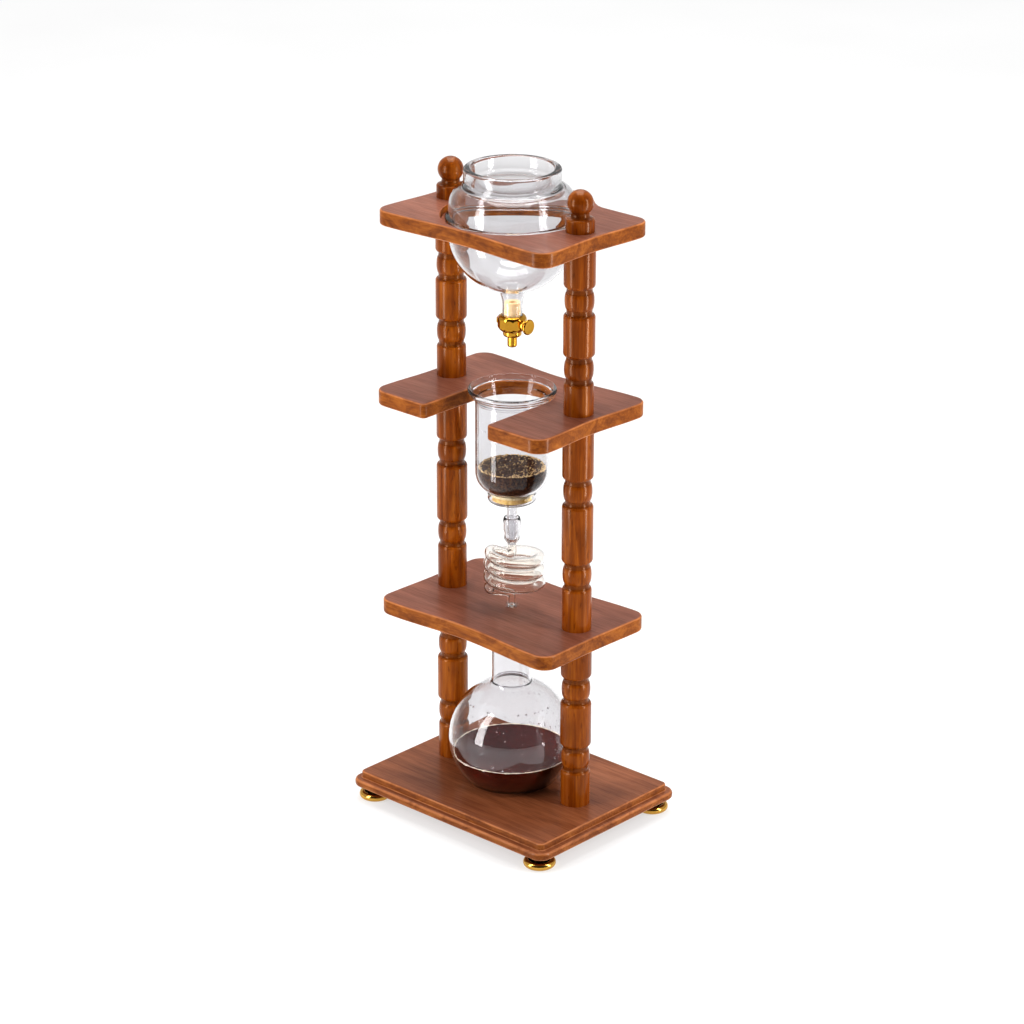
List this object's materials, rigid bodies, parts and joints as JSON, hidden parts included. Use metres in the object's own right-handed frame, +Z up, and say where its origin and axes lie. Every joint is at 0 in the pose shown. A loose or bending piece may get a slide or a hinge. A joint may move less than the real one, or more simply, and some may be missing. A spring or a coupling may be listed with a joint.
{
  "type": "cold drip coffee tower",
  "caption": "Cold drip coffee tower: wooden stand with turned posts, round water globe with a brass drip tap, coffee chamber, coiled glass tube and round flask.",
  "frame": {"origin": "on the floor under the middle of the base", "axes": "+Z up, -Y towards the open front where the flask slides out, +X towards the side of the tap's knob"},
  "size_m": [0.239, 0.186, 0.608],
  "materials": {
    "wood_board": "satin lacquer, fine grain",
    "wood_turned": "gloss lacquer on turned wood",
    "brass_foot": "polished",
    "steel": "plain zinc-plated fasteners",
    "clear_glass": "clear, thin walled",
    "stopper_rubber": "cream silicone",
    "seal_rubber": "white silicone",
    "brass_tap": "polished",
    "filter_plastic": "clear amber",
    "filter_cloth": "coffee-stained cloth",
    "ground_coffee": "wet ground coffee",
    "brewed_coffee": "dark liquid"
  },
  "bodies": {
    "stand": {"base_board": "wood_board", "lower_shelf": "wood_board", "middle_shelf": "wood_board", "top_shelf": "wood_board", "foot_front_left": "brass_foot", "foot_front_right": "brass_foot", "foot_back_left": "brass_foot", "foot_back_right": "brass_foot", "foot_screws": "steel", "post_lower_left": "wood_turned", "post_lower_right": "wood_turned", "post_middle_left": "wood_turned", "post_middle_right": "wood_turned", "post_upper_left": "wood_turned", "post_upper_right": "wood_turned", "finial_left": "wood_turned", "finial_right": "wood_turned", "base_screws": "steel", "lower_studs": "steel", "middle_studs": "steel", "top_studs": "steel"},
    "globe": {"water_globe": "clear_glass", "tap_stopper": "stopper_rubber", "tap_seal": "seal_rubber", "tap_body": "brass_tap"},
    "key": {"tap_key": "brass_tap", "tap_key_nut": "brass_tap"},
    "chamber": {"coffee_chamber": "clear_glass", "filter_holder": "filter_plastic", "filter_disc": "filter_cloth", "coffee_bed": "ground_coffee"},
    "coil": {"coil_socket": "clear_glass", "glass_coil": "clear_glass", "coil_spout": "clear_glass"},
    "flask": {"flask": "clear_glass", "brewed_coffee": "brewed_coffee"}
  },
  "joints": [
    {"name": "globe_lift", "type": "slide", "parent": "stand", "child": "globe", "axis": [0, 0, 1], "range_m": [0, 0.165]},
    {"name": "key_turn", "type": "hinge", "parent": "globe", "child": "key", "pos_m": [0, -0.0025, 0.467], "axis": [1, 0, 0], "range_deg": [0, 90]},
    {"name": "chamber_lift", "type": "slide", "parent": "stand", "child": "chamber", "axis": [0, 0, 1], "range_m": [0, 0.033]},
    {"name": "coil_turn", "type": "hinge", "parent": "stand", "child": "coil", "pos_m": [0, -0.0025, 0.198], "axis": [0, 0, 1], "range_deg": [-180, 180]},
    {"name": "flask_slide", "type": "slide", "parent": "stand", "child": "flask", "axis": [0, -1, 0], "range_m": [0, 0.16]}
  ]
}
